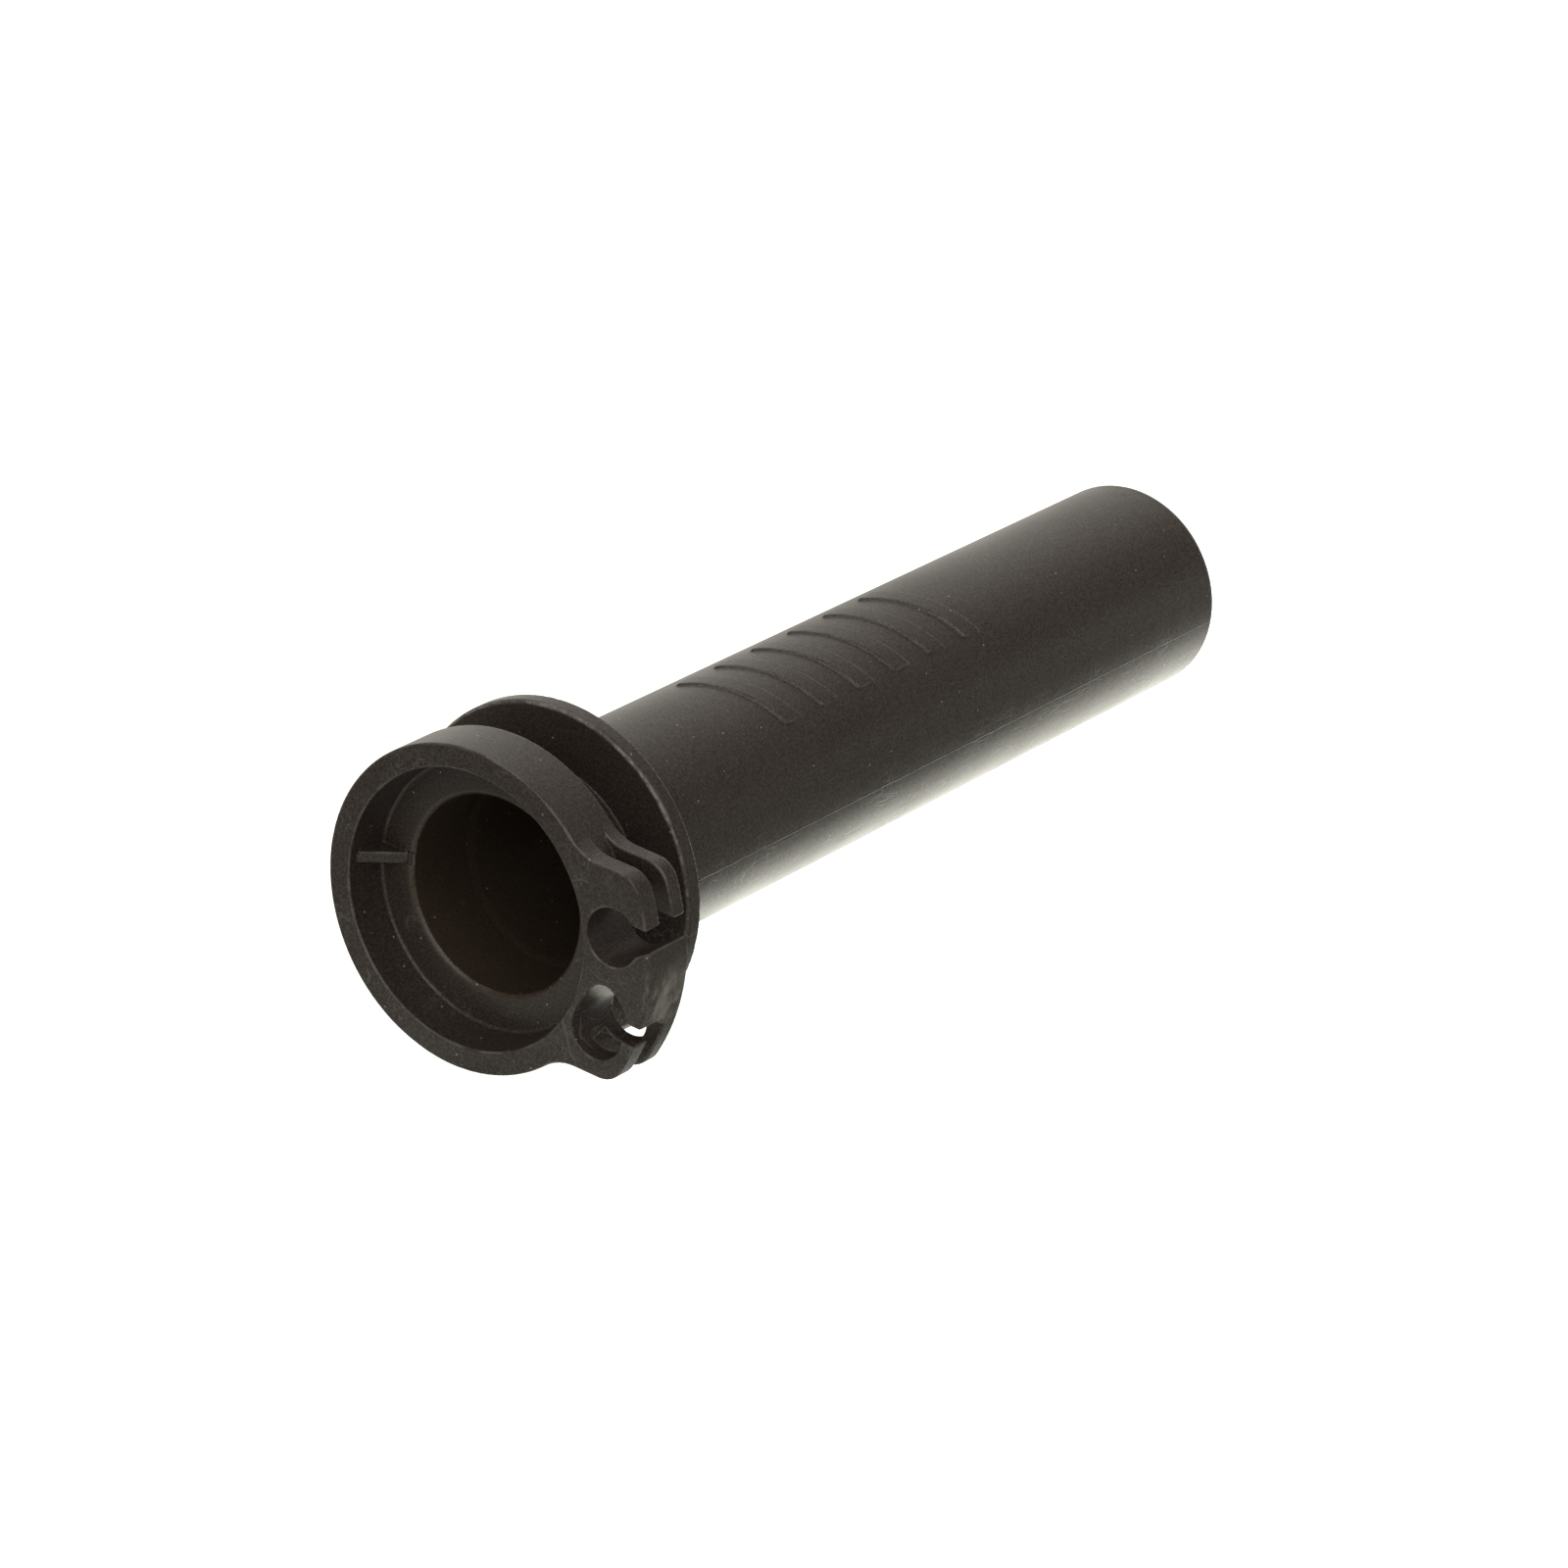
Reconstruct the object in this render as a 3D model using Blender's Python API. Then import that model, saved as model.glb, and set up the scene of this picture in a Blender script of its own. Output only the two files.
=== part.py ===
"""Bare throttle tube for a 22.2 mm handlebar: cable reel, guide flange and grip sleeve in one moulding.

The tube's axis is +Y, and +X runs through the middle of the cable ears. The origin is on the axis, level
with the centre of mass. Sizes here are in millimetres and distances along the axis start at the reel's
front face; new_object turns them into metres from the origin.
"""

from math import acos, asin, atan2, cos, degrees, pi, radians, sin, sqrt

import bmesh
import bpy

MM = 0.001
ORIGIN_DEPTH = 52.7    # from the reel's front face to the origin
OVERCUT = 1.0          # how far a cutter runs past the face that it opens

# Reel, the short drum that the cables wind on
REEL_R = 18.85
REEL_DEPTH = 6.9
RECESS_MOUTH_R = 16.1
RECESS_FLOOR_R = 15.7
RECESS_DEPTH = 5.2

# Ears, the boss on the reel that holds the two cable ends
EAR_R = 24.8           # outer radius of the upper ear
BLOCK_R = 25.0         # outer radius of the block and of the lower ear
EAR_HALF_WIDTH = 12.3
EAR_CORNER_R = 3.0
EAR_FILLET_R = 6.0
EAR_TIP_Z = 6.9        # half the distance between the ears' tips
BLOCK_HALF_WIDTH = 4.57
GROOVE_START = 2.55    # the groove that each cable lies in, along the axis
GROOVE_END = 4.85
GROOVE_BOTTOM_R = 18.9
GROOVE_ROOT_DEG = 60.0  # past the root of the ear

# Seats for the cables' end barrels: centre and radius at the front face, drafted towards the rear
PULL_SEAT = (19.54, 4.57, 3.34)
RETURN_SEAT = (18.94, -6.89, 3.36)
RETURN_SEAT_TOP = (19.31, -3.69, 2.3)
SEAT_DRAFT = 0.07      # change of radius per millimetre of depth

# Slots from the seats out between block and ears; the lower one stops at the rear web
PULL_FLANK = ((22.65, 3.41), (24.3, 4.57))
PULL_FLANK_INWARD = 1.5   # how far the cut runs on past the flank's two ends
PULL_FLANK_OUTWARD = 3.0
PULL_SLOT_INNER_X = 20.5
RETURN_FLANK = (18.44, -5.76, 4.5)
RETURN_FLANK_TOP_DEG = 75.0
RETURN_SLOT_INNER_X = 19.3

# Sleeve behind the reel
NECK_R = 12.7
FLANGE_R = 19.4
FLANGE_FRONT = 14.4
FLANGE_REAR = 16.55
FLANGE_SHOULDER_R = 19.1      # where the chamfer round the flange's front starts
FLANGE_SHOULDER_DROP = 0.3
FLANGE_CHAMFER = 0.15         # round the flange's rear
SLEEVE_R = 12.7
SLEEVE_END = 130.0
END_ROUND = 1.0

# Bore for the handlebar, a little wider at the reel
BORE_R = 11.2
MOUTH_R = 11.4
MOUTH_END = 15.3
MOUTH_TAPER = 1.2
MOUTH_CHAMFER = 0.35

# Gusset across the corner of the recess, opposite the ears
RIB_DEG = 181.0
RIB_WIDTH = 1.4
RIB_WALL_START = 1.0
RIB_INNER_R = 12.1

TURN_STEPS = 96
ARC_STEP_DEG = 3.75


def arc(cx, cz, radius, start_deg, end_deg):
    """Points of an arc in the XZ plane, ends included, in steps of at most ARC_STEP_DEG."""
    steps = max(2, round(abs(end_deg - start_deg) / ARC_STEP_DEG))
    turns = [radians(start_deg + (end_deg - start_deg) * i / steps) for i in range(steps + 1)]
    return [(cx + radius * cos(t), cz + radius * sin(t)) for t in turns]


def mirrored(points):
    """The same points below the XY plane, in reverse order."""
    return [(x, -z) for x, z in reversed(points)]


def ear_outline(outer_r, start_z):
    """The upper ear from a height on its outer face to the reel, anticlockwise."""
    corner_z = EAR_HALF_WIDTH - EAR_CORNER_R
    corner_x = sqrt((outer_r - EAR_CORNER_R) ** 2 - corner_z ** 2)
    corner_deg = degrees(atan2(corner_z, corner_x))
    fillet_z = EAR_HALF_WIDTH + EAR_FILLET_R
    fillet_x = sqrt((REEL_R + EAR_FILLET_R) ** 2 - fillet_z ** 2)
    fillet_deg = degrees(atan2(fillet_z, fillet_x))
    start_deg = degrees(asin(start_z / outer_r))
    return (
        arc(0, 0, outer_r, start_deg, corner_deg)
        + arc(corner_x, corner_z, EAR_CORNER_R, corner_deg, 90)[1:]
        + arc(fillet_x, fillet_z, EAR_FILLET_R, -90, fillet_deg - 180)
    )


def reel_outline():
    """The reel with the boss for its ears, seen along the axis, anticlockwise from the lower ear."""
    slot_z = (EAR_TIP_Z + BLOCK_HALF_WIDTH) / 2
    slot_deg = degrees(asin(slot_z / BLOCK_R))
    upper = ear_outline(EAR_R, slot_z)
    reel_x, reel_z = upper[-1]
    reel_deg = degrees(atan2(reel_z, reel_x))
    lower = mirrored(ear_outline(BLOCK_R, slot_z))
    return (
        lower
        + arc(0, 0, BLOCK_R, -slot_deg, slot_deg)[1:]
        + upper
        + arc(0, 0, REEL_R, reel_deg, 360 - reel_deg)[1:-1]
    )


def pull_seat_outline(along):
    """The upper seat at a depth."""
    cx, cz, radius = PULL_SEAT
    return arc(cx, cz, radius - SEAT_DRAFT * along, 0, 360)[:-1]


def return_seat_outline(along):
    """The lower seat, drawn out towards the block, at a depth."""
    cx, cz, radius = RETURN_SEAT
    top_x, top_z, top_r = RETURN_SEAT_TOP
    gap = sqrt((top_x - cx) ** 2 + (top_z - cz) ** 2)
    lean_deg = degrees(atan2(top_z - cz, top_x - cx))
    side_deg = degrees(acos((radius - top_r) / gap))
    shrink = SEAT_DRAFT * along
    return (
        arc(top_x, top_z, top_r - shrink, lean_deg - side_deg, lean_deg + side_deg)
        + arc(cx, cz, radius - shrink, lean_deg + side_deg, lean_deg - side_deg + 360)
    )


def pull_slot_outline():
    """The upper slot, from inside the seat out past the ears."""
    (x0, z0), (x1, z1) = PULL_FLANK
    length = sqrt((x1 - x0) ** 2 + (z1 - z0) ** 2)
    ux, uz = (x1 - x0) / length, (z1 - z0) / length
    inner_x, inner_z = x0 - PULL_FLANK_INWARD * ux, z0 - PULL_FLANK_INWARD * uz
    outer_x, outer_z = x1 + PULL_FLANK_OUTWARD * ux, z1 + PULL_FLANK_OUTWARD * uz
    return [
        (inner_x, inner_z),
        (outer_x, outer_z),
        (outer_x, EAR_TIP_Z),
        (PULL_SLOT_INNER_X, EAR_TIP_Z),
    ]


def return_slot_outline():
    """The lower slot, with the block's hollow flank above it."""
    cx, cz, radius = RETURN_FLANK
    foot_deg = degrees(asin((-BLOCK_HALF_WIDTH - cz) / radius))
    return arc(cx, cz, radius, foot_deg, RETURN_FLANK_TOP_DEG) + [
        (RETURN_SLOT_INNER_X, RETURN_SEAT_TOP[1]),
        (RETURN_SLOT_INNER_X, -EAR_TIP_Z),
        (BLOCK_R + OVERCUT, -EAR_TIP_Z),
        (BLOCK_R + OVERCUT, -BLOCK_HALF_WIDTH),
    ]


def sleeve_profile():
    """Half section of neck, flange and sleeve as (radius, distance along the axis) pairs."""
    start = REEL_DEPTH - OVERCUT
    end = [
        (SLEEVE_R - END_ROUND * (1 - cos(t)), SLEEVE_END - END_ROUND * (1 - sin(t)))
        for t in (0, pi / 8, pi / 4, 3 * pi / 8, pi / 2)
    ]
    return [
        (0, start),
        (NECK_R, start),
        (NECK_R, FLANGE_FRONT),
        (FLANGE_SHOULDER_R, FLANGE_FRONT),
        (FLANGE_R, FLANGE_FRONT + FLANGE_SHOULDER_DROP),
        (FLANGE_R, FLANGE_REAR - FLANGE_CHAMFER),
        (FLANGE_R - FLANGE_CHAMFER, FLANGE_REAR),
        (SLEEVE_R, FLANGE_REAR),
        *end,
        (0, SLEEVE_END),
    ]


def bore_profile():
    """Half section of the space that the handlebar fills."""
    return [
        (0, RECESS_DEPTH - OVERCUT),
        (MOUTH_R + MOUTH_CHAMFER + OVERCUT, RECESS_DEPTH - OVERCUT),
        (MOUTH_R, RECESS_DEPTH + MOUTH_CHAMFER),
        (MOUTH_R, MOUTH_END - MOUTH_TAPER / 2),
        (BORE_R, MOUTH_END + MOUTH_TAPER / 2),
        (BORE_R, SLEEVE_END + OVERCUT),
        (0, SLEEVE_END + OVERCUT),
    ]


def recess_profile():
    """Half section of the round recess in the reel's front face."""
    draft = (RECESS_MOUTH_R - RECESS_FLOOR_R) / RECESS_DEPTH
    return [
        (0, -OVERCUT),
        (RECESS_MOUTH_R + draft * OVERCUT, -OVERCUT),
        (RECESS_FLOOR_R, RECESS_DEPTH),
        (0, RECESS_DEPTH),
    ]


def groove_outline(side):
    """Sector that clears one ear's groove, from the middle of its slot to past its root."""
    slot_deg = degrees(asin((EAR_TIP_Z + BLOCK_HALF_WIDTH) / 2 / EAR_R))
    outer = arc(0, 0, BLOCK_R + OVERCUT, slot_deg, GROOVE_ROOT_DEG)
    inner = arc(0, 0, GROOVE_BOTTOM_R, GROOVE_ROOT_DEG, slot_deg)
    points = outer + inner
    return points if side > 0 else mirrored(points)


def new_object(name, bm):
    """Object from a bmesh in millimetres from the reel's front face, with its faces pointing out."""
    bmesh.ops.recalc_face_normals(bm, faces=bm.faces)
    bmesh.ops.translate(bm, vec=(0, -ORIGIN_DEPTH, 0), verts=bm.verts)
    bmesh.ops.scale(bm, vec=(MM, MM, MM), verts=bm.verts)
    mesh = bpy.data.meshes.new(name)
    bm.to_mesh(mesh)
    bm.free()
    obj = bpy.data.objects.new(name, mesh)
    bpy.context.scene.collection.objects.link(obj)
    return obj


def loft(name, outline_at, start, end):
    """Solid between an outline's shapes at two places along the axis."""
    bm = bmesh.new()
    front = [bm.verts.new((x, start, z)) for x, z in outline_at(start)]
    rear = [bm.verts.new((x, end, z)) for x, z in outline_at(end)]
    bm.faces.new(front)
    bm.faces.new(rear)
    for i in range(len(front)):
        bm.faces.new((front[i - 1], front[i], rear[i], rear[i - 1]))
    return new_object(name, bm)


def prism(name, outline, start, end):
    """Outline in the XZ plane, extruded from start to end along the axis."""
    return loft(name, lambda along: outline, start, end)


def turned(name, profile):
    """Solid of revolution about the Y axis from (radius, distance) pairs that start and end on it."""
    bm = bmesh.new()
    verts = [bm.verts.new((radius, along, 0)) for radius, along in profile]
    edges = [bm.edges.new(pair) for pair in zip(verts, verts[1:])]
    bmesh.ops.spin(
        bm, geom=verts + edges, cent=(0, 0, 0), axis=(0, 1, 0), angle=2 * pi, steps=TURN_STEPS
    )
    bmesh.ops.remove_doubles(bm, verts=bm.verts, dist=0.0001)
    return new_object(name, bm)


def gusset_solid():
    """Thin triangle between the recess wall and its floor, in the plane of the axis."""
    steepness = (RECESS_DEPTH - RIB_WALL_START) / (RECESS_MOUTH_R - RIB_INNER_R)
    buried_r = RECESS_MOUTH_R + OVERCUT / 2
    section = [
        (RIB_INNER_R, RECESS_DEPTH),
        (buried_r, RIB_WALL_START - steepness * OVERCUT / 2),
        (buried_r, RECESS_DEPTH + OVERCUT),
        (RIB_INNER_R, RECESS_DEPTH + OVERCUT),
    ]
    bm = bmesh.new()
    face = bm.faces.new([bm.verts.new((r, y, -RIB_WIDTH / 2)) for r, y in section])
    grown = bmesh.ops.extrude_face_region(bm, geom=[face])
    top = [item for item in grown["geom"] if isinstance(item, bmesh.types.BMVert)]
    bmesh.ops.translate(bm, vec=(0, 0, RIB_WIDTH), verts=top)
    obj = new_object("gusset_guide", bm)
    obj.rotation_euler[1] = -radians(RIB_DEG)
    return obj


def combine(body, tool, operation):
    """Live Boolean of body with a tool that is kept as a wire guide."""
    modifier = body.modifiers.new(tool.name, "BOOLEAN")
    modifier.operation = operation
    modifier.solver = "EXACT"
    modifier.object = tool
    tool.hide_render = True
    tool.display_type = "WIRE"


def black_plastic():
    """Plain black polyamide with a dull surface."""
    material = bpy.data.materials.new("black_plastic")
    material.use_nodes = True
    shader = material.node_tree.nodes["Principled BSDF"]
    shader.inputs["Base Color"].default_value = (0.022, 0.020, 0.019, 1.0)
    shader.inputs["Roughness"].default_value = 0.55
    shader.inputs["Metallic"].default_value = 0.0
    return material


def throttle_tube():
    """The one moulding: reel with ears, joined to the sleeve, then opened up."""
    body = prism("throttle_tube", reel_outline(), 0, REEL_DEPTH)
    combine(body, turned("sleeve_guide", sleeve_profile()), "UNION")
    combine(body, turned("recess_cutter", recess_profile()), "DIFFERENCE")
    combine(body, turned("bore_cutter", bore_profile()), "DIFFERENCE")
    front, rear = -OVERCUT, REEL_DEPTH + OVERCUT
    combine(body, loft("pull_seat_cutter", pull_seat_outline, front, rear), "DIFFERENCE")
    combine(body, loft("return_seat_cutter", return_seat_outline, front, rear), "DIFFERENCE")
    combine(body, prism("pull_slot_cutter", pull_slot_outline(), front, rear), "DIFFERENCE")
    combine(body, prism("return_slot_cutter", return_slot_outline(), front, GROOVE_END), "DIFFERENCE")
    for name, side in (("pull_groove_cutter", 1), ("return_groove_cutter", -1)):
        combine(body, prism(name, groove_outline(side), GROOVE_START, GROOVE_END), "DIFFERENCE")
    combine(body, gusset_solid(), "UNION")
    body.data.materials.append(black_plastic())
    body.data.shade_smooth()
    body.data.set_sharp_from_angle(angle=radians(30))
    return body


def main():
    for obj in list(bpy.data.objects):
        bpy.data.objects.remove(obj)
    throttle_tube()


main()
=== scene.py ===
from math import atan2, cos, radians, sin, sqrt, tan

import bpy
import numpy as np
from mathutils import Matrix, Vector


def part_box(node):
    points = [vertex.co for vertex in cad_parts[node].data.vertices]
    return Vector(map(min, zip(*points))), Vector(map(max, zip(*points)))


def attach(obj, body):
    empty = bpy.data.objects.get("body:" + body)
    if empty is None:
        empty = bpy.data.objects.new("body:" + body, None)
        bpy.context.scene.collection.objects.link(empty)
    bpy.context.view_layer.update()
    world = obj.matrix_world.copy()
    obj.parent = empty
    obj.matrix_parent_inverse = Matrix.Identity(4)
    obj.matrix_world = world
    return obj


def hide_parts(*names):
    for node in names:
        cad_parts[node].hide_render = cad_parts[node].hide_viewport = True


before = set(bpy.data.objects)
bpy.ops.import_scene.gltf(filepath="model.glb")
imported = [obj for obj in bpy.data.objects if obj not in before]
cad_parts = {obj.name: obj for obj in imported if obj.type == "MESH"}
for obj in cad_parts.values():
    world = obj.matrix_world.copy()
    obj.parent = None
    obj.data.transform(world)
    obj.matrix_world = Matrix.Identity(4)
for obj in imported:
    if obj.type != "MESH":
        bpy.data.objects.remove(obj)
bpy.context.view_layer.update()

# The moulding is described here in millimetres by distance functions of x, y and z that are negative
# inside the plastic: +Y along the tube from the reel's front face, +X through the middle of the ears.
MM = 0.001
NODE = "throttle_tube"
CAD_LOW, CAD_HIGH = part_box(NODE)

# Reel and ears
REEL_R = 18.85
REEL_DEPTH = 6.9
RECESS_MOUTH_R = 16.1
RECESS_FLOOR_R = 15.7
RECESS_DEPTH = 5.2
EAR_R = 24.8                  # upper ear
BLOCK_R = CAD_HIGH.x / MM     # block and lower ear
EAR_HALF_WIDTH = 12.3
EAR_CORNER_R = 3.0
EAR_FILLET_R = 6.0
EAR_TIP_Z = 6.9
BLOCK_HALF_WIDTH = 4.57
GROOVE_START = 2.55
GROOVE_END = 4.85
SLOT_MIDDLE_Z = (EAR_TIP_Z + BLOCK_HALF_WIDTH) / 2

# Seats for the cables' end barrels: centre and radius at the front face, drafted towards the rear
PULL_SEAT = (19.54, 4.57, 3.34)
PULL_FLANK = ((22.65, 3.41), (24.3, 4.57))
RETURN_SEAT = (18.94, -6.89, 3.36)
RETURN_SEAT_TOP = (19.31, -3.69, 2.3)
RETURN_FLANK = (18.44, -5.76, 4.5)
SEAT_DRAFT = 0.07
BLOCK_FOOT_R = 1.5
PULL_SLOT_INNER_X = 20.5
RETURN_SLOT_INNER_X = 19.3

# Neck, flange and sleeve
NECK_R = 12.7
FLANGE_R = CAD_HIGH.z / MM
FLANGE_FRONT = 14.4
FLANGE_REAR = 16.55
FLANGE_SHOULDER_R = 19.1
FLANGE_SHOULDER_DROP = 0.3
SLEEVE_R = 12.7
SLEEVE_END = (CAD_HIGH.y - CAD_LOW.y) / MM
END_ROUND = 1.0
BORE_R = 11.2
MOUTH_R = 11.4
MOUTH_END = 15.3
MOUTH_TAPER = 1.2
MOUTH_CHAMFER = 0.35

# Gusset across the corner of the recess
RIB_DEG = 181.0
RIB_WIDTH = 1.4
RIB_WALL_START = 1.0
RIB_INNER_R = 12.1
GATE_MARK_WIDTH = 1.5
GATE_MARK_DEPTH = 0.25

# Plain raised bars on the sleeve
BARS_START = 46.0
BARS_END = 81.0
BARS_MIDDLE_DEG = 83.5
BARS_HALF_ARC = 6.8
BAR_PITCH = 7.0
BAR_HALF_WIDTH = 1.7
BAR_CORNER = 0.5
BAR_SLANT = tan(radians(18))
BAR_HEIGHT = 0.28
BAR_FLANK = 0.4

# Rounding of the moulded edges
EDGE_ROUND = 0.25
TIP_ROUND = 0.15
SHOULDER_ROUND = 0.12
RIM_ROUND = 0.15
ROOT_FILLET = 0.15
NECK_FILLET = 0.5
RECESS_FILLET = 0.4
BORE_ROUND = 0.1

# Mesh spacing
FINE_STEP = 0.25
BAR_STEP = 0.25
PLAIN_STEP = 1.0
MARGIN = 0.6

# Finding the surface: how often points are moved onto it, and how far apart its samples are taken
SNAP_PASSES = 3
SNAP_REACH = 0.01
LEAST_SLOPE = 0.5     # keeps a point from being thrown where the distance hardly changes
NORMAL_REACH = 0.03
SHARPNESS_REACH = 0.2


def cut_round(a, b, radius):
    """Overlap of two solids, with the edge between them rounded."""
    u = np.maximum(a + radius, 0)
    v = np.maximum(b + radius, 0)
    return np.minimum(np.maximum(a, b), -radius) + np.hypot(u, v)


def join_round(a, b, radius):
    """Both solids together, with a fillet between them."""
    return -cut_round(-a, -b, radius)


def slab(along, start, end):
    """Space between two planes across a direction."""
    return np.abs(along - (start + end) / 2) - (end - start) / 2


def right_of(x, z, line):
    """Distance to the right of a line, looking from its first point to its second, in the XZ plane."""
    (x0, z0), (x1, z1) = line
    length = sqrt((x1 - x0) ** 2 + (z1 - z0) ** 2)
    return ((x - x0) * (z1 - z0) - (z - z0) * (x1 - x0)) / length


def eared_disc(x, z, rho):
    """The reel's disc with the solid boss from which the ears are cut."""
    side = np.abs(z)
    ear_r = np.where(z < 0, BLOCK_R, EAR_R)
    corner_z = EAR_HALF_WIDTH - EAR_CORNER_R
    corner_x = np.sqrt((ear_r - EAR_CORNER_R) ** 2 - corner_z ** 2)
    fillet_z = EAR_HALF_WIDTH + EAR_FILLET_R
    fillet_x = sqrt((REEL_R + EAR_FILLET_R) ** 2 - fillet_z ** 2)
    outer_r = np.where(side < SLOT_MIDDLE_Z, BLOCK_R, ear_r)
    boss = np.maximum(np.maximum(side - EAR_HALF_WIDTH, rho - outer_r), -x)
    at_corner = (x > corner_x) & (side * corner_x > x * corner_z)
    corner = np.hypot(x - corner_x, side - corner_z) - EAR_CORNER_R
    boss = np.where(at_corner, corner, boss)
    disc = rho - REEL_R
    at_fillet = (x < fillet_x) & (side * fillet_x < x * fillet_z)
    fillet = EAR_FILLET_R - np.hypot(x - fillet_x, side - fillet_z)
    return np.where(at_fillet, fillet, np.minimum(disc, boss))


def pull_void(x, y, z):
    """Upper seat and its slot."""
    cx, cz, radius = PULL_SEAT
    seat = np.hypot(x - cx, z - cz) - radius + SEAT_DRAFT * y
    slot = np.maximum(z - EAR_TIP_Z, right_of(x, z, PULL_FLANK))
    return join_round(seat, np.maximum(slot, PULL_SLOT_INNER_X - x), TIP_ROUND)


def return_seat(x, y, z):
    """Lower seat, drawn out towards the block."""
    cx, cz, radius = RETURN_SEAT
    top_x, top_z, top_r = RETURN_SEAT_TOP
    reach = sqrt((top_x - cx) ** 2 + (top_z - cz) ** 2)
    ux, uz = (top_x - cx) / reach, (top_z - cz) / reach
    along = (x - cx) * ux + (z - cz) * uz
    across = np.abs((x - cx) * uz - (z - cz) * ux)
    taper = (radius - top_r) / reach
    normal = sqrt(1 - taper ** 2)
    place = normal * along - taper * across
    side = normal * across + taper * along - radius
    foot = np.hypot(along, across) - radius
    head = np.hypot(along - reach, across) - top_r
    outline = np.where(place < 0, foot, np.where(place > normal * reach, head, side))
    return outline + SEAT_DRAFT * y


def return_void(x, y, z):
    """Lower seat and the slot under the block, whose foot flares out to meet the rear web."""
    cx, cz, radius = RETURN_FLANK
    into_foot = np.clip(y - (GROOVE_END - BLOCK_FOOT_R), 0, BLOCK_FOOT_R)
    flare = BLOCK_FOOT_R - np.sqrt(BLOCK_FOOT_R ** 2 - into_foot ** 2)
    flank = np.hypot(x - cx, z - cz) - radius
    under_block = join_round(z + BLOCK_HALF_WIDTH + flare, flank, TIP_ROUND)
    slot = np.maximum(under_block, -EAR_TIP_Z - z)
    slot = np.maximum(slot, RETURN_SLOT_INNER_X - x)
    return join_round(return_seat(x, y, z), slot, TIP_ROUND)


def cored_disc(x, z, rho):
    """The reel's disc with only the block between the ears, as it is inside the cable grooves."""
    block = np.maximum(np.maximum(np.abs(z) - SLOT_MIDDLE_Z, rho - BLOCK_R), -x)
    return np.minimum(rho - REEL_R, block)


def reel(x, y, z, rho):
    """Reel with its ears, before the recess is sunk into it; the lower slot stops at the rear web."""
    pull = -pull_void(x, y, z)
    lower = -return_void(x, y, z)
    web = cut_round(eared_disc(x, z, rho), pull, TIP_ROUND)
    core = cut_round(cored_disc(x, z, rho), pull, TIP_ROUND)
    front = cut_round(cut_round(web, lower, TIP_ROUND), slab(y, 0, GROOVE_START), EDGE_ROUND)
    rear = cut_round(web, -return_seat(x, y, z), TIP_ROUND)
    rear = cut_round(rear, slab(y, GROOVE_END, REEL_DEPTH), EDGE_ROUND)
    middle = cut_round(cut_round(core, lower, TIP_ROUND), slab(y, 0, REEL_DEPTH), EDGE_ROUND)
    return np.minimum(np.minimum(front, rear), middle)


def rib(x, y, z):
    """Gusset between the recess wall and its floor, with a straight sloping top."""
    turn = radians(RIB_DEG)
    out = x * cos(turn) + z * sin(turn)
    aside = np.abs(z * cos(turn) - x * sin(turn))
    slope = atan2(RECESS_DEPTH - RIB_WALL_START, RECESS_MOUTH_R - RIB_INNER_R)
    top = (RIB_INNER_R - out) * sin(slope) + (RECESS_DEPTH - y) * cos(slope)
    return cut_round(top, aside - RIB_WIDTH / 2, EDGE_ROUND)


def gate_mark(x, y, z):
    """Small sunk mark between the rib's inner end and the bore."""
    turn = radians(RIB_DEG)
    out = x * cos(turn) + z * sin(turn)
    aside = z * cos(turn) - x * sin(turn)
    pocket = np.maximum(slab(out, MOUTH_R, RIB_INNER_R), np.abs(aside) - GATE_MARK_WIDTH / 2)
    return np.maximum(pocket, slab(y, RECESS_DEPTH - GATE_MARK_DEPTH, RECESS_DEPTH + GATE_MARK_DEPTH))


def recess(x, y, z, rho):
    """Round recess in the reel's front face, less the rib."""
    draft = (RECESS_MOUTH_R - RECESS_FLOOR_R) / RECESS_DEPTH
    wall = (rho - RECESS_MOUTH_R + draft * y) / sqrt(1 + draft ** 2)
    space = cut_round(wall, y - RECESS_DEPTH, RECESS_FILLET)
    return cut_round(space, -rib(x, y, z), BORE_ROUND)


def bore(y, rho):
    """Space for the handlebar, with its wider mouth and the chamfer into the recess."""
    narrowing = (MOUTH_R - BORE_R) * np.clip((y - MOUTH_END) / MOUTH_TAPER + 0.5, 0, 1)
    tunnel = rho - MOUTH_R + narrowing
    cone = (rho - MOUTH_R - MOUTH_CHAMFER + y - RECESS_DEPTH) / sqrt(2)
    chamfer = np.maximum(cone, RECESS_DEPTH - BORE_ROUND - y)
    return np.minimum(tunnel, chamfer)


def bar_relief(x, y, z):
    """Height of the plain slanted bars above the sleeve."""
    arc = SLEEVE_R * (np.arctan2(z, x) - radians(BARS_MIDDLE_DEG))
    along = y + BAR_SLANT * arc
    count = round((BARS_END - BARS_START) / BAR_PITCH)
    nearest = np.clip(np.round((along - BARS_START) / BAR_PITCH), 0, count)
    across = np.abs(along - BARS_START - nearest * BAR_PITCH) - BAR_HALF_WIDTH
    bar = cut_round(across, np.abs(arc) - BARS_HALF_ARC, BAR_CORNER)
    rise = np.clip(-bar / BAR_FLANK, 0, 1)
    return BAR_HEIGHT * rise * rise * (3 - 2 * rise)


def flange(y, rho):
    """Guide flange with the small chamfer round its front."""
    slope = atan2(FLANGE_SHOULDER_DROP, FLANGE_R - FLANGE_SHOULDER_R)
    shoulder = (rho - FLANGE_SHOULDER_R) * sin(slope) + (FLANGE_FRONT - y) * cos(slope)
    front = cut_round(FLANGE_FRONT - y, shoulder, SHOULDER_ROUND)
    rim = cut_round(rho - FLANGE_R, y - FLANGE_REAR, RIM_ROUND)
    return cut_round(rim, front, RIM_ROUND)


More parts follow.
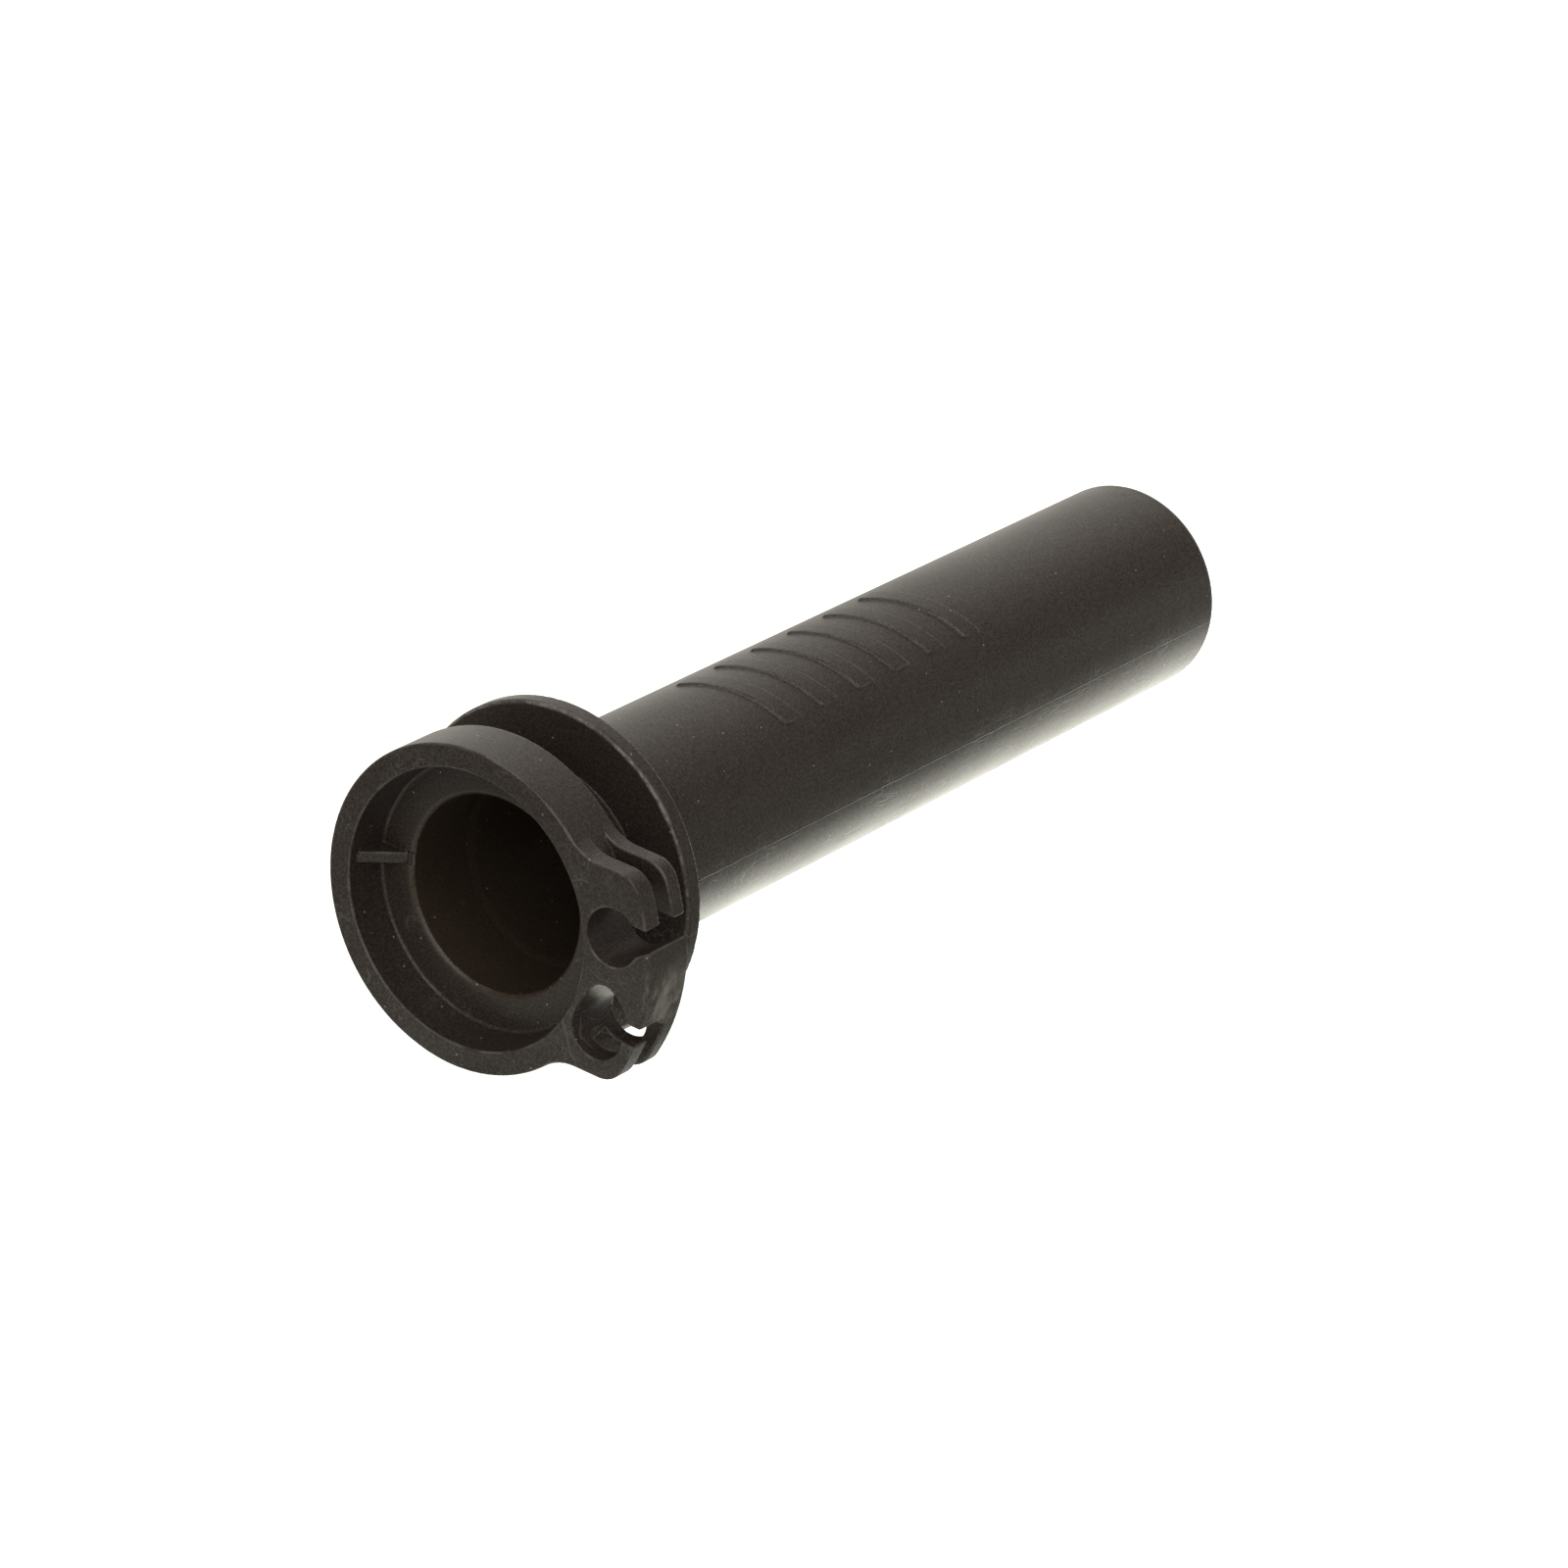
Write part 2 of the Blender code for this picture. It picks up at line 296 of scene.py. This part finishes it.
def stem(x, y, z, rho):
    """Neck and sleeve without the bore."""
    sleeve = SLEEVE_R + bar_relief(x, y, z)
    outer = np.where(y < (FLANGE_FRONT + FLANGE_REAR) / 2, NECK_R, sleeve)
    tip = cut_round(rho - outer, y - SLEEVE_END, END_ROUND)
    return np.maximum(tip, REEL_DEPTH / 2 - y)


def moulding(x, y, z):
    """The whole throttle tube."""
    rho = np.hypot(x, z)
    body = join_round(reel(x, y, z, rho), stem(x, y, z, rho), NECK_FILLET)
    body = join_round(body, flange(y, rho), ROOT_FILLET)
    body = cut_round(body, -recess(x, y, z, rho), EDGE_ROUND)
    body = cut_round(body, -bore(y, rho), BORE_ROUND)
    return np.maximum(body, -gate_mark(x, y, z))


CORNERS = np.array([(i, j, k) for i in (0, 1) for j in (0, 1) for k in (0, 1)])
EDGES = [(a, b) for a in range(8) for b in range(8) if b > a and bin(a ^ b).count("1") == 1]


def grid_lines(start, spans):
    """Grid positions from a start through spans of (end, step)."""
    lines = [np.array([start])]
    for end, step in spans:
        steps = max(1, round((end - start) / step))
        lines.append(np.linspace(start, end, steps + 1)[1:])
        start = end
    return np.concatenate(lines)


def net_points(field, cells, axes):
    """One point in each crossed cell, at the middle of its edges' crossings."""
    values = np.stack([field[tuple((cells + c).T)] for c in CORNERS], axis=1)
    total = np.zeros((len(cells), 3))
    hits = np.zeros((len(cells), 1))
    for a, b in EDGES:
        crossed = (values[:, a] < 0) != (values[:, b] < 0)
        span = np.where(crossed, values[:, a] - values[:, b], 1)
        share = (values[:, a] / span)[:, None]
        total += crossed[:, None] * (CORNERS[a] + share * (CORNERS[b] - CORNERS[a]))
        hits += crossed[:, None]
    low = np.stack([axis[cells[:, n]] for n, axis in enumerate(axes)], axis=1)
    high = np.stack([axis[cells[:, n] + 1] for n, axis in enumerate(axes)], axis=1)
    return low + (high - low) * total / hits


def net_quads(inside, number):
    """A quad round each grid edge that crosses the surface, facing out."""
    quads = []
    for axis in range(3):
        order = (axis, (axis + 1) % 3, (axis + 2) % 3)
        state = np.transpose(inside, order)
        cell = np.transpose(number, order)
        first = state[:-1, 1:-1, 1:-1]
        i, j, k = np.nonzero(first != state[1:, 1:-1, 1:-1])
        around = (cell[i, j, k], cell[i, j + 1, k], cell[i, j + 1, k + 1], cell[i, j, k + 1])
        ring = np.stack(around, axis=1)
        inward = ~first[i, j, k]
        ring[inward] = ring[inward][:, ::-1]
        quads.append(ring)
    return np.concatenate(quads)


def slope_at(points, reach):
    """Gradient and Laplacian of the moulding's distance at points, from samples at +-reach."""
    here = moulding(*points.T)
    gradient = np.empty_like(points)
    bend = -6 * here
    for axis in range(3):
        offset = np.zeros(3)
        offset[axis] = reach
        ahead = moulding(*(points + offset).T)
        behind = moulding(*(points - offset).T)
        gradient[:, axis] = (ahead - behind) / (2 * reach)
        bend += ahead + behind
    return here, gradient, bend / reach ** 2


def surface_mesh(axes):
    """Points, quads, normals and edge sharpness of the moulding's surface."""
    xs, ys, zs = axes
    field = moulding(xs[:, None, None], ys[None, :, None], zs[None, None, :])
    inside = field < 0
    cell_shape = tuple(n - 1 for n in field.shape)
    filled = np.zeros(cell_shape, np.int8)
    for i, j, k in CORNERS:
        filled += inside[i:i + cell_shape[0], j:j + cell_shape[1], k:k + cell_shape[2]]
    cells = np.argwhere((filled > 0) & (filled < 8))
    number = np.full(cell_shape, -1, np.int32)
    number[tuple(cells.T)] = np.arange(len(cells))
    points = net_points(field, cells, axes)
    quads = net_quads(inside, number)
    for _ in range(SNAP_PASSES):
        here, gradient, _ = slope_at(points, SNAP_REACH)
        steepness = np.maximum((gradient ** 2).sum(axis=1), LEAST_SLOPE ** 2)
        points -= gradient * (here / steepness)[:, None]
    _, gradient, _ = slope_at(points, NORMAL_REACH)
    _, _, bend = slope_at(points, SHARPNESS_REACH)
    normals = gradient / np.linalg.norm(gradient, axis=1)[:, None]
    return points, quads, normals, bend


# --- scene: the mesh, its plastic, and the studio

# Plastic colours, from the clean moulding to its worn, scuffed and dusty places, with painted fill light
# in the bore and painted highlights on the flange chamfer and the parting line
PLASTIC_DARK = (0.0215, 0.0145, 0.0125, 1.0)
PLASTIC_LIGHT = (0.0275, 0.0190, 0.0165, 1.0)
SPECKLE_COLOUR = (0.092, 0.076, 0.067, 1.0)
WEAR_COLOUR = (0.17, 0.155, 0.142, 1.0)
BORE_PAINTED_FILL_COLOUR = (0.060, 0.042, 0.027, 1.0)
SCRATCH_COLOUR = (0.16, 0.15, 0.135, 1.0)
NICK_AND_HIGHLIGHT_COLOUR = (0.30, 0.28, 0.26, 1.0)
SCUFF_COLOUR = (0.34, 0.33, 0.30, 1.0)
DUST_COLOUR = (0.42, 0.40, 0.36, 1.0)
SEAM_EDGE_COLOUR = (0.012, 0.009, 0.009, 1.0)
SEAM_HIGHLIGHT_COLOUR = (0.12, 0.11, 0.10, 1.0)

# How fine the plastic's noises are, per metre; three numbers are along x, y and z
CLOUD_SCALE = 55.0
PATCH_SCALE = 260.0
GRAIN_SCALE = 3600.0
SCRATCH_PATCH_SCALE = 170.0
NICK_SCALE = 900.0
DUST_SCALE = 900.0
WOBBLE_SCALE = 420.0
SCUFF_SCALE = (210.0, 300.0, 120.0)
STREAK_SCALE = (700.0, 60.0, 700.0)

# Hair scratches: how fine they are along x, y and z per metre, how they are turned, and where they start
HAIR_SCRATCHES = (
    ((520.0, 55.0, 520.0), (0.10, 0.0, 0.08), 0.0),
    ((420.0, 70.0, 420.0), (-0.55, 0.0, 0.35), 3.1),
    ((90.0, 380.0, 90.0), (0.35, 0.2, -0.30), 7.7),
)

# Depth of the plastic's relief, in millimetres
GRAIN_RELIEF = 0.022
PATCH_RELIEF = 0.03
STREAK_RELIEF = 0.045
SCRATCH_RELIEF = 0.03
SEAM_RELIEF = 0.05
SEAM_WOBBLE = 0.3

# Camera, upright and in metres from the reel's front face
EAR_DROOP = Matrix.Rotation(radians(-8.3), 4, "Y")   # the ears point 8.3 degrees below the horizon
CAMERA_AZIMUTH = radians(36.1)
CAMERA_ELEVATION = radians(21.3)
CAMERA_DISTANCE = 0.74685
CAMERA_AIM = Vector((0.00174, 0.05603, -0.00263))
CAMERA_LENS = 150.35
CAMERA_CLIP = 0.01

# Light table, and how bright it is in its parts
FLOOR_REACH = 3.0
FLOOR_GAP = 0.0002
TABLE_WHITE = (1.0, 1.0, 0.885, 1.0)
TABLE_BASE = 0.15
TABLE_NEAR = 0.20
TABLE_RIGHT = 0.10
TABLE_LEFT = 0.85
TABLE_UNDER_TUBE = 2.7
TABLE_ALBEDO = (0.1, 0.1, 0.1, 1.0)
FOOT_MIDDLE_Y = 12.0          # dark patch where the flange meets the table, in millimetres
FOOT_HALF_WIDTH = 9.0
FOOT_HALF_LENGTH = 28.0

# Studio round the tube
WARM_WHITE = (1.0, 0.962, 0.875, 1.0)
SEEN_WHITE = 1.25             # brightness of table and backdrop as the camera sees them
WALL_LIGHT = 0.24
BACKDROP_LIGHT = 0.92
BACKDROP_DIRECTION = (-0.6, 0.75, 0.2)
CEILING_LIGHT = 1.35
CEILING_DIRECTION = (0.3, -0.62, 0.72)
KEY_PLACE = (-0.3, 0.1, 0.9)
KEY_SIZE = 0.6
KEY_POWER = 1.5


def grid_axes(factor):
    """Grid positions along x, y and z: fine at the reel and the bars, coarse along the plain sleeve."""
    fine, bars, plain = (step * factor for step in (FINE_STEP, BAR_STEP, PLAIN_STEP))
    side = -FLANGE_R - MARGIN
    xs = grid_lines(side, [(BLOCK_R + MARGIN, fine)])
    zs = grid_lines(side, [(-side, fine)])
    ys = grid_lines(-MARGIN, [
        (FLANGE_REAR + MARGIN, fine),
        (BARS_START - BAR_PITCH, plain),
        (BARS_END + BAR_PITCH, bars),
        (SLEEVE_END - 2 * END_ROUND, plain),
        (SLEEVE_END + MARGIN, fine),
    ])
    return xs, ys, zs


def fine_moulding():
    """The visible throttle tube, as one closed mesh."""
    points, quads, normals, bend = surface_mesh(grid_axes(1.0))
    mesh = bpy.data.meshes.new("throttle_tube_moulding")
    mesh.vertices.add(len(points))
    mesh.vertices.foreach_set("co", ((points * MM) + np.array([0, CAD_LOW.y, 0])).ravel())
    mesh.loops.add(quads.size)
    mesh.loops.foreach_set("vertex_index", quads.ravel().astype(np.int32))
    mesh.polygons.add(len(quads))
    mesh.polygons.foreach_set("loop_start", np.arange(0, quads.size, 4, dtype=np.int32))
    mesh.update(calc_edges=True)
    mesh.shade_smooth()
    mesh.normals_split_custom_set_from_vertices(normals.tolist())
    sharpness = mesh.attributes.new("edge_sharpness", "FLOAT", "POINT")
    sharpness.data.foreach_set("value", bend.astype(np.float32))
    obj = bpy.data.objects.new("throttle_tube_moulding", mesh)
    bpy.context.scene.collection.objects.link(obj)
    return obj


class Shader:
    """Small helper that wires the nodes of one material or world."""

    def __init__(self, owner):
        owner.use_nodes = True
        self.tree = owner.node_tree

    def node(self, kind, settings=None, **inputs):
        """New node; inputs are given by name with underscores for spaces, as values or sockets."""
        made = self.tree.nodes.new(kind)
        for key, value in (settings or {}).items():
            setattr(made, key, value)
        for key, value in inputs.items():
            self.feed(made, key.replace("_", " "), value)
        return made

    def feed(self, target, name, value):
        """Set an input, by name or index, to a value or to another node's output."""
        socket = target.inputs[name]
        if isinstance(value, bpy.types.NodeSocket):
            self.tree.links.new(value, socket)
        else:
            socket.default_value = value

    def math(self, operation, a, b=0.0):
        """One Math node and its result."""
        made = self.node("ShaderNodeMath", {"operation": operation})
        self.feed(made, 0, a)
        self.feed(made, 1, b)
        return made.outputs[0]

    def product(self, first, *others):
        """Masks or numbers multiplied together."""
        for other in others:
            first = self.math("MULTIPLY", first, other)
        return first

    def total(self, first, *others):
        """Values added together."""
        for other in others:
            first = self.math("ADD", first, other)
        return first

    def hypot(self, a, b):
        """Length of a vector with two components."""
        return self.math("SQRT", self.total(self.product(a, a), self.product(b, b)))

    def ramp(self, value, low, high, out_low=0.0, out_high=1.0):
        """Smooth change from out_low to out_high as value goes from low to high."""
        made = self.node("ShaderNodeMapRange", {"interpolation_type": "SMOOTHSTEP"})
        for index, item in enumerate((value, low, high, out_low, out_high)):
            self.feed(made, index, item)
        return made.outputs[0]

    def noise(self, place, scale, detail=2.0, roughness=0.5):
        """Noise of about 1 / scale metres."""
        settings = {"Scale": scale, "Detail": detail, "Roughness": roughness}
        made = self.node("ShaderNodeTexNoise", Vector=place, **settings)
        return made.outputs["Fac"]

    def stretched(self, place, scale, turn=(0.0, 0.0, 0.0), offset=0.0):
        """Coordinates scaled along x, y and z, turned, and moved by an offset."""
        start = (offset, offset, offset)
        made = self.node("ShaderNodeMapping", Vector=place, Scale=scale, Rotation=turn, Location=start)
        return made.outputs[0]

    def millimetres(self, place):
        """x, y and z of a place, in millimetres."""
        split = self.node("ShaderNodeSeparateXYZ", Vector=place).outputs
        return [self.math("DIVIDE", split[name], MM) for name in "XYZ"]

    def toward(self, direction, goal):
        """How closely a direction points the same way as a goal, from -1 to 1."""
        made = self.node("ShaderNodeVectorMath", {"operation": "DOT_PRODUCT"})
        self.feed(made, 0, direction)
        self.feed(made, 1, Vector(goal).normalized())
        return made.outputs["Value"]

    def mix(self, factor, a, b):
        """Colour between a and b."""
        made = self.node("ShaderNodeMix", {"data_type": "RGBA"})
        self.feed(made, 0, factor)
        self.feed(made, 6, a)
        self.feed(made, 7, b)
        return made.outputs[2]

    def white_when_seen(self, light):
        """A light's strength, raised to plain white where the camera looks straight at it."""
        seen = self.node("ShaderNodeLightPath").outputs["Is Camera Ray"]
        return self.math("MAXIMUM", light, self.product(seen, SEEN_WHITE))


class TubePoint:
    """Where on the tube a shaded point is: its place, and in millimetres x, z, radius and depth."""

    def __init__(self, sh):
        self.place = sh.node("ShaderNodeTexCoord").outputs["Object"]
        self.x, y, self.z = sh.millimetres(self.place)
        self.rho = sh.hypot(self.x, self.z)
        self.depth = sh.math("SUBTRACT", y, CAD_LOW.y / MM)


def edge_wear(sh, patches):
    """Rubbed outer edges, patchy along their length."""
    sharp = sh.node("ShaderNodeAttribute", {"attribute_name": "edge_sharpness"}).outputs["Fac"]
    return sh.product(sh.ramp(sharp, 1.0, 3.6), sh.ramp(patches, 0.40, 0.68, 0.08, 1.0))


def outside_hollows(sh, at, bore):
    """Everywhere but in the bore and the recess, where nothing rubs."""
    recess_side = sh.ramp(at.rho, RECESS_MOUTH_R + 0.2, RECESS_MOUTH_R)
    in_recess = sh.product(recess_side, sh.ramp(at.depth, REEL_DEPTH, 0.5))
    return sh.math("SUBTRACT", 1.0, sh.math("MAXIMUM", bore, in_recess))


def hair_scratches(sh, at, exposed):
    """Fine scratches on the front face and, thickest, on the underside."""
    hairs = 0.0
    for scale, turn, offset in HAIR_SCRATCHES:
        lines = sh.noise(sh.stretched(at.place, scale, turn, offset), 1.0)
        off_line = sh.math("ABSOLUTE", sh.math("SUBTRACT", lines, 0.5))
        hairs = sh.math("MAXIMUM", hairs, sh.ramp(off_line, 0.012, 0.003))
    gathered = sh.ramp(sh.noise(at.place, SCRATCH_PATCH_SCALE), 0.46, 0.60)
    on_face = sh.ramp(at.depth, 0.20, 0.05, 0.0, 0.8)
    rubbed = sh.math("MAXIMUM", on_face, sh.ramp(at.z, 4.0, -4.0, 0.12, 1.0))
    return sh.product(hairs, gathered, rubbed, exposed)


def underside_streaks(sh, at, exposed):
    """Shallow streaks along the underside."""
    streaks = sh.noise(sh.stretched(at.place, STREAK_SCALE), 1.0, 4.0, 0.65)
    return sh.product(streaks, sh.ramp(at.z, 2.0, -6.0), exposed)


def flange_nicks_and_highlight(sh, at):
    """Broken light line on the chamfer round the flange's front: worn nicks and a painted highlight."""
    outer = sh.ramp(at.rho, FLANGE_SHOULDER_R - 0.12, FLANGE_SHOULDER_R)
    behind_gap = sh.ramp(at.depth, FLANGE_FRONT - 2.4, FLANGE_FRONT - 1.4)
    on_chamfer = sh.ramp(at.depth, FLANGE_FRONT + 0.28, FLANGE_FRONT + 0.16)
    broken = sh.ramp(sh.noise(at.place, NICK_SCALE, 2.0, 0.6), 0.42, 0.62, 0.08, 0.5)
    return sh.product(outer, behind_gap, on_chamfer, broken)


def block_scuffs(sh, at):
    """Pale smears on the outer face of the block."""
    on_block = sh.product(sh.ramp(at.x, BLOCK_R - 0.7, BLOCK_R - 0.3), sh.ramp(at.z, 3.5, -1.5))
    smears = sh.noise(sh.stretched(at.place, SCUFF_SCALE), 1.0, 6.0, 0.75)
    return sh.product(on_block, sh.ramp(smears, 0.40, 0.66))


def dust_specks(sh, at):
    """Small pale specks, more of them low down."""
    cells = sh.node("ShaderNodeTexVoronoi", Vector=at.place, Scale=DUST_SCALE)
    chosen = sh.node("ShaderNodeSeparateColor", Color=cells.outputs["Color"]).outputs[0]
    settled = sh.total(chosen, sh.ramp(at.z, 1.0, -8.0, 0.0, 0.17))
    return sh.product(sh.ramp(cells.outputs["Distance"], 0.13, 0.05), sh.ramp(settled, 0.86, 0.89))


def parting_line(sh, at):
    """The slightly wavy parting line on sleeve and flange rim, painted lighter as a highlight, and the
    dark edge beside it.
    """
    wobble = sh.product(sh.math("SUBTRACT", sh.noise(at.place, WOBBLE_SCALE, 3.0, 0.7), 0.5), SEAM_WOBBLE)
    off_seam = sh.math("ABSOLUTE", sh.total(at.z, wobble))
    outside = sh.ramp(at.rho, SLEEVE_R - 0.4, SLEEVE_R - 0.2)
    on_tube = sh.product(outside, sh.ramp(at.depth, FLANGE_FRONT + 0.6, FLANGE_FRONT + 0.9))
    line = sh.product(sh.ramp(off_seam, 0.10, 0.02), on_tube)
    edge = sh.product(sh.ramp(off_seam, 0.26, 0.14), on_tube)
    return line, edge


def moulded_plastic():
    """Black moulded plastic: speckled grain, parting line, worn edges, scuffs, hair scratches and dust,
    with painted fill light in the bore and painted highlights on the flange chamfer and parting line.
    """
    material = bpy.data.materials.new("black_plastic")
    sh = Shader(material)
    at = TubePoint(sh)
    clouds = sh.noise(at.place, CLOUD_SCALE, 3.0)
    patches = sh.noise(at.place, PATCH_SCALE, 4.0, 0.6)
    grain = sh.noise(at.place, GRAIN_SCALE, 3.0, 0.75)
    bore = sh.ramp(at.rho, MOUTH_R + 0.8, MOUTH_R + 0.4)
    exposed = outside_hollows(sh, at, bore)
    wear = edge_wear(sh, patches)
    scratches = hair_scratches(sh, at, exposed)
    scuffs = block_scuffs(sh, at)
    seam_and_highlight, seam_edge = parting_line(sh, at)

    colour = sh.mix(clouds, PLASTIC_DARK, PLASTIC_LIGHT)
    for amount, layer in (
        (sh.product(sh.ramp(grain, 0.40, 0.64), 0.42), SPECKLE_COLOUR),
        (sh.product(wear, 0.6), WEAR_COLOUR),
        # painted fill light: a lighter colour inside the bore, where little light reaches
        (sh.product(bore, 0.45), BORE_PAINTED_FILL_COLOUR),
        (sh.product(scratches, 0.35), SCRATCH_COLOUR),
        # worn nicks and a painted highlight on the flange chamfer
        (flange_nicks_and_highlight(sh, at), NICK_AND_HIGHLIGHT_COLOUR),
        (sh.product(scuffs, 0.85), SCUFF_COLOUR),
        (sh.product(dust_specks(sh, at), 0.8), DUST_COLOUR),
        (sh.product(seam_edge, 0.5), SEAM_EDGE_COLOUR),
        # painted highlight along the parting line, whose ridge is also given as bump
        (sh.product(seam_and_highlight, sh.ramp(patches, 0.3, 0.7, 0.1, 0.8)), SEAM_HIGHLIGHT_COLOUR),
    ):
        colour = sh.mix(amount, colour, layer)

    relief = sh.total(
        sh.product(grain, GRAIN_RELIEF),
        sh.product(seam_and_highlight, SEAM_RELIEF),
        sh.product(underside_streaks(sh, at, exposed), STREAK_RELIEF),
        sh.product(scratches, -SCRATCH_RELIEF),
        sh.product(patches, PATCH_RELIEF),
    )
    bump = sh.node("ShaderNodeBump", Strength=1.0, Distance=MM, Height=relief)
    dulled = sh.product(sh.math("MAXIMUM", wear, scuffs), 0.15)
    surface = material.node_tree.nodes["Principled BSDF"]
    sh.feed(surface, "Base Color", colour)
    sh.feed(surface, "Roughness", sh.total(sh.ramp(clouds, 0.3, 0.7, 0.31, 0.38), dulled))
    sh.feed(surface, "Normal", bump.outputs[0])
    sh.feed(surface, "IOR", 1.5)
    sh.feed(surface, "Specular IOR Level", sh.ramp(grain, 0.3, 0.7, 0.36, 0.58))
    return material


def upright(point):
    """A point given upright from the reel's front face, in the row frame."""
    return EAR_DROOP @ Vector(point) + Vector((0, CAD_LOW.y, 0))


def facing(direction):
    """Turn that makes a camera or lamp look along a direction."""
    return direction.to_track_quat("-Z", "Y").to_matrix().to_4x4()


def add_camera():
    """Long-lens view of the reel's face, from its right and a little above."""
    camera = bpy.data.objects.new("camera", bpy.data.cameras.new("camera"))
    bpy.context.scene.collection.objects.link(camera)
    camera.data.lens = CAMERA_LENS
    camera.data.clip_start = CAMERA_CLIP
    level = cos(CAMERA_ELEVATION)
    back = Vector((sin(CAMERA_AZIMUTH) * level, -cos(CAMERA_AZIMUTH) * level, sin(CAMERA_ELEVATION)))
    place = Matrix.Translation(upright(CAMERA_AIM + back * CAMERA_DISTANCE))
    camera.matrix_world = place @ EAR_DROOP @ facing(-back)
    bpy.context.scene.camera = camera


def table_light(sh):
    """How bright the table is: bright under the tube, mild behind it on the left, and dim in front."""
    x, y, _ = sh.millimetres(sh.node("ShaderNodeTexCoord").outputs["Object"])
    strip = sh.ramp(sh.math("ABSOLUTE", x), 26.0, 4.0)
    off_x = sh.math("DIVIDE", x, FOOT_HALF_WIDTH)
    off_y = sh.math("DIVIDE", sh.math("SUBTRACT", y, FOOT_MIDDLE_Y), FOOT_HALF_LENGTH)
    foot_shadow = sh.ramp(sh.hypot(off_x, off_y), 0.7, 1.4, 0.08, 1.0)
    under = sh.product(strip, sh.ramp(y, -4.0, 8.0, 0.12, 1.0), foot_shadow)
    right = sh.product(sh.ramp(x, 0.0, 50.0), sh.ramp(y, -30.0, 30.0))
    left = sh.ramp(sh.math("SUBTRACT", y, x), 50.0, 350.0)
    near = sh.product(sh.ramp(y, -90.0, -30.0), sh.ramp(y, 30.0, 0.0))
    return sh.total(
        sh.product(near, TABLE_NEAR),
        sh.product(right, TABLE_RIGHT),
        sh.product(left, TABLE_LEFT),
        sh.product(under, TABLE_UNDER_TUBE),
        TABLE_BASE,
    )


def light_table():
    """Surface that glows, and is plain white to the camera."""
    material = bpy.data.materials.new("floor_white")
    sh = Shader(material)
    surface = material.node_tree.nodes["Principled BSDF"]
    sh.feed(surface, "Base Color", TABLE_ALBEDO)
    sh.feed(surface, "Roughness", 0.9)
    sh.feed(surface, "Specular IOR Level", 0.0)
    sh.feed(surface, "Emission Color", TABLE_WHITE)
    sh.feed(surface, "Emission Strength", sh.white_when_seen(table_light(sh)))
    return material


def add_floor():
    """White light table that the flange and the sleeve's end rest on."""
    drop = (FLANGE_R - SLEEVE_R) / (SLEEVE_END - FLANGE_REAR)
    corners = []
    for side, end in ((-1, -1), (1, -1), (1, 1), (-1, 1)):
        along = end * FLOOR_REACH
        height = -FLANGE_R * MM + (along - FLANGE_REAR * MM) * drop - FLOOR_GAP
        corners.append((side * FLOOR_REACH, along, height))
    mesh = bpy.data.meshes.new("floor")
    mesh.from_pydata(corners, [], [(0, 1, 2, 3)])
    floor = bpy.data.objects.new("floor", mesh)
    bpy.context.scene.collection.objects.link(floor)
    floor.matrix_world = Matrix.Translation((0, CAD_LOW.y, 0)) @ EAR_DROOP
    mesh.materials.append(light_table())


def add_world():
    """Soft studio: white sweep behind on the left, ceiling panel over the camera, dim walls."""
    world = bpy.data.worlds.new("studio")
    bpy.context.scene.world = world
    sh = Shader(world)
    direction = sh.node("ShaderNodeTexCoord").outputs["Generated"]
    backdrop = sh.ramp(sh.toward(direction, BACKDROP_DIRECTION), 0.46, 1.0, WALL_LIGHT, BACKDROP_LIGHT)
    ceiling = sh.ramp(sh.toward(direction, CEILING_DIRECTION), 0.70, 0.93, 0.0, CEILING_LIGHT)
    background = world.node_tree.nodes["Background"]
    sh.feed(background, "Color", WARM_WHITE)
    sh.feed(background, "Strength", sh.white_when_seen(sh.total(backdrop, ceiling)))


def add_key_light():
    """Round soft light high on the left, aimed at the middle of the tube."""
    light = bpy.data.lights.new("key", "AREA")
    light.shape = "DISK"
    light.size = KEY_SIZE
    light.energy = KEY_POWER
    obj = bpy.data.objects.new("key", light)
    bpy.context.scene.collection.objects.link(obj)
    start = upright(KEY_PLACE)
    middle = upright((0, SLEEVE_END * MM / 2, 0))
    obj.matrix_world = Matrix.Translation(start) @ facing(middle - start)


moulding_piece = fine_moulding()
moulding_piece.data.materials.append(moulded_plastic())
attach(moulding_piece, "root")
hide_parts(NODE)
add_floor()
add_world()
add_key_light()
add_camera()
bpy.context.scene.view_settings.view_transform = "Standard"
